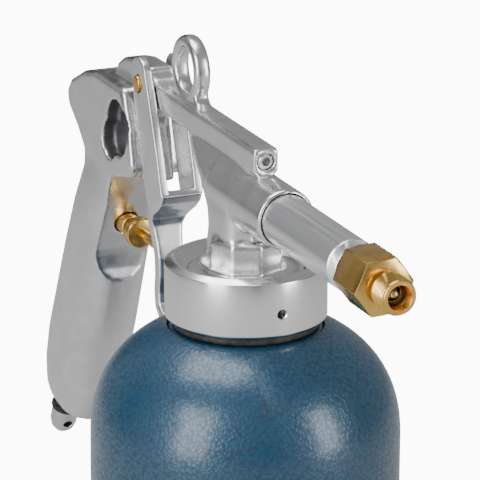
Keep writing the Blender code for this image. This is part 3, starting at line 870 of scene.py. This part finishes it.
def hex_bar(name, across, back, front, turn, material):
    bm = bmesh.new()
    corner = across / 2 / math.cos(math.radians(30)) * MM
    bmesh.ops.create_cone(bm, cap_ends=True, segments=6, radius1=corner, radius2=corner,
                          depth=(front - back) * MM,
                          matrix=Matrix.Rotation(math.radians(turn), 4, "Z"))
    mesh = bpy.data.meshes.new(name)
    bm.to_mesh(mesh)
    bm.free()
    mesh.materials.append(material)
    obj = add_object(name, mesh)
    centre = TUBE_AXIS + Vector(((front + back) / 2 * MM, 0, 0))
    obj.matrix_world = Matrix.Translation(centre) @ AXES["X"]
    return settle(obj)


def make_nozzle():
    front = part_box("nozzle")[1].x / MM
    corner = HEX_ACROSS / 2 / math.cos(math.radians(30))
    bar = hex_bar("brass_nozzle", HEX_ACROSS, HEX_BACK, HEX_FRONT, HEX_TURN, brass_finish)
    chamfers = lathe("hex_chamfer", [
        (0.0, HEX_FRONT), (HEX_ACROSS / 2 - 0.5, HEX_FRONT), (corner + 0.1, HEX_FRONT - 1.0),
        (corner + 0.1, HEX_BACK + 0.6), (HEX_ACROSS / 2 - 0.1, HEX_BACK), (0.0, HEX_BACK)],
        TUBE_AXIS, "X", steps=96, material=brass_finish)
    fuse(bar, [chamfers], "INTERSECT")
    soften = bar.modifiers.new("edge", "BEVEL")
    soften.width = 0.22 * MM
    soften.segments = 2
    soften.angle_limit = math.radians(35)
    settle(bar)
    stem = lathe("nozzle_core", [
        (0.0, front), (5.7, front), (5.95, front - 0.25), (5.95, 118.6), (5.7, 118.2),
        (5.7, 110.0), (7.6, 110.0), (7.6, 86.0), (0.0, 86.0)], TUBE_AXIS, "X",
        material=brass_finish)
    winding = thread("nozzle_thread", 5.0, 5.85, THREAD_CREST, NOZZLE_PITCH,
                     front - THREAD_START - 0.1,
                     TUBE_AXIS + Vector((THREAD_START * MM, 0, 0)), "X", brass_finish)
    fuse(bar, [stem, winding])
    bore = lathe("nozzle_bore", [
        (0.0, front + 2), (5.0, front + 2), (4.55, front + 0.1), (4.35, front - 0.15),
        (3.05, 122.1), (2.9, 122.0), (2.9, 119.0), (4.5, 119.0), (4.5, 84.0), (0.0, 84.0)],
        TUBE_AXIS, "X", steps=64)
    jet = lathe("jet_hole", [(0.0, 127.0), (0.75, 127.0), (0.75, 117.0), (0.0, 117.0)],
                TUBE_AXIS + Vector((0, 0, 3.7 * MM)), "X", steps=24)
    fuse(bar, [bore, jet], "DIFFERENCE")
    shade(bar, 28)
    keep(bar, "gun", "brass", "nozzle")


make_nozzle()

# %% [markdown]
# In the nozzle's mouth sits the tip of the inner pipe, ending in a small bright ball.

# %% Tip
BALL_R, BALL_X = 1.55, 123.1


def make_tip():
    profile = [(0.0, BALL_X + BALL_R)] + arc(0.0, BALL_X, BALL_R, 75, -45, 8)
    profile += [(1.25, 121.9), (2.4, 121.0), (2.6, 120.7), (2.6, 112.3), (0.0, 112.3)]
    tip = lathe("jet_tip", profile, TUBE_AXIS, "X", steel_finish, 48)
    keep(tip, "gun", "bright_steel", "fluid_tip")


make_tip()

# %% [markdown]
# A headless screw with a hexagon socket closes the drilled air channel at the front of the bar.

# %% Channel plug
SOCKET_R = 1.75          # to the hexagon's corners


def make_plug():
    low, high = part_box("channel_plug")
    back, front, outer = low.x / MM, high.x / MM, (high.y - low.y) / 2 / MM
    centre = middle("channel_plug") * Vector((0, 1, 1))
    plug = lathe("socket_screw", [
        (0.0, front), (outer - 0.5, front), (outer, front - 0.5), (outer, back), (0.0, back)],
        centre, "X", steel_finish, 48)
    bm = bmesh.new()
    bmesh.ops.create_cone(bm, cap_ends=True, segments=6, radius1=SOCKET_R * MM,
                          radius2=SOCKET_R * MM, depth=8 * MM)
    mesh = bpy.data.meshes.new("socket")
    bm.to_mesh(mesh)
    bm.free()
    socket = add_object("socket", mesh)
    socket.matrix_world = Matrix.Translation(centre + Vector(((front + 0.8) * MM, 0, 0))) \
        @ AXES["X"]
    settle(socket)
    fuse(plug, [socket], "DIFFERENCE")
    shade(plug, 28)
    keep(plug, "gun", "bright_steel", "channel_plug")


make_plug()

# %% [markdown]
# The trigger is another polished casting: two cheeks joined by a saddle that runs down into the
# finger blade. It is rebuilt from finer voxels than the body, because its walls are thin.

# %% Trigger
def make_trigger():
    lever = soft_copy("lever_trigger", "trigger", 0.42, 5, casting_finish)
    keep(lever, "trigger", "cast_alloy", "trigger")


make_trigger()

# %% [markdown]
# The trigger turns on a brass pin, whose rounded end stands a little proud of the cheek.

# %% Pivot pin
def make_pin():
    low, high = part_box("trigger_pin")
    r = (high.x - low.x) / 2 / MM
    left, right = low.y / MM, high.y / MM
    profile = [(0.0, right), (r - 0.5, right), (r, right - 0.5), (r, 9.9), (2.5, 9.9),
               (2.5, 8.7), (r, 8.7), (r, left + 0.7)]
    profile += arc(r - 0.7, left + 0.7, 0.7, 0, -80, 5)[1:] + [(0.0, left)]
    pin = lathe("pivot_pin", profile, PIN, "Y", brass_finish, 64)
    keep(pin, "gun", "brass", "trigger_pin")


make_pin()

# %% [markdown]
# The valve's pin runs from the trigger's blade to the brass gland in the grip. Its round knob
# shows between the two.

# %% Valve pin and gland
PIN_R = 2.0
KNOB_FRONT, KNOB_BACK = -100.0, -104.7


def make_valve_pieces():
    low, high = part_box("valve_stem")
    front, back, knob = high.x / MM, low.x / MM, high.y / MM
    profile = [(0.0, front)] + arc(0.8, front - 1.2, 1.2, 85, 0, 5)
    profile += [(PIN_R, KNOB_FRONT), (4.6, KNOB_FRONT), (5.5, KNOB_FRONT - 0.3)]
    profile += arc(knob - 0.7, KNOB_FRONT - 1.2, 0.7, 60, 0, 3)
    profile += arc(knob - 0.7, KNOB_BACK + 0.8, 0.7, 0, -90, 4)
    profile += [(PIN_R, KNOB_BACK), (PIN_R, back), (0.0, back)]
    stem = lathe("valve_pin", profile, VALVE_AXIS, "X", brass_finish, 64)
    keep(stem, "valve", "brass", "valve_stem")
    low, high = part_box("valve_body")
    front, back = high.x / MM, low.x / MM
    gland = lathe("valve_gland", [
        (3.2, front)] + arc(3.5, front - 0.7, 0.7, 90, 0, 4) + [
        (4.3, back), (3.5, back), (3.5, -118.0), (2.3, -118.0), (2.3, front - 0.5),
        (2.8, front)],
        VALVE_AXIS, "X", brass_finish, 64, ring=True)
    keep(gland, "gun", "brass", "valve_body")


make_valve_pieces()

# %% [markdown]
# A coil spring behind the poppet shuts the valve. It is a curve with a round bevel, turned into
# a mesh.


def make_spring():
    low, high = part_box("valve_spring")
    wire, turns, per_turn = 0.4 * MM, 5.5, 28
    mean = (high.y - low.y) / 2 - wire
    count = int(turns * per_turn)
    curve = bpy.data.curves.new("coil_line", "CURVE")
    curve.dimensions = "3D"
    curve.bevel_depth = wire
    curve.bevel_resolution = 3
    curve.use_fill_caps = True
    line = curve.splines.new("POLY")
    line.points.add(count)
    for i, point in enumerate(line.points):
        angle = 2 * math.pi * i / per_turn
        x = high.x - wire + (low.x - high.x + 2 * wire) * i / count
        point.co = (x, mean * math.cos(angle), VALVE_AXIS.z + mean * math.sin(angle), 1.0)
    line_object = add_object("coil_line", curve)
    spring = add_object("closing_spring", bpy.data.meshes.new_from_object(
        line_object.evaluated_get(bpy.context.evaluated_depsgraph_get())))
    bpy.data.objects.remove(line_object)
    tidy(spring.data, 0.00001)
    spring.data.materials.append(steel_finish)
    spring.data.shade_smooth()
    keep(spring, "gun", "bright_steel", "valve_spring")
    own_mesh(spring)


make_spring()

# %% [markdown]
# The air inlet at the grip's foot is a plated nipple with a rounded end and a cross hole. Its
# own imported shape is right, so a fine voxel copy only rounds it.

# %% Air nipple
def make_nipple():
    nipple = soft_copy("air_nipple", "inlet_nipple", 0.3, 4, steel_finish)
    keep(nipple, "gun", "bright_steel", "inlet_nipple")


make_nipple()
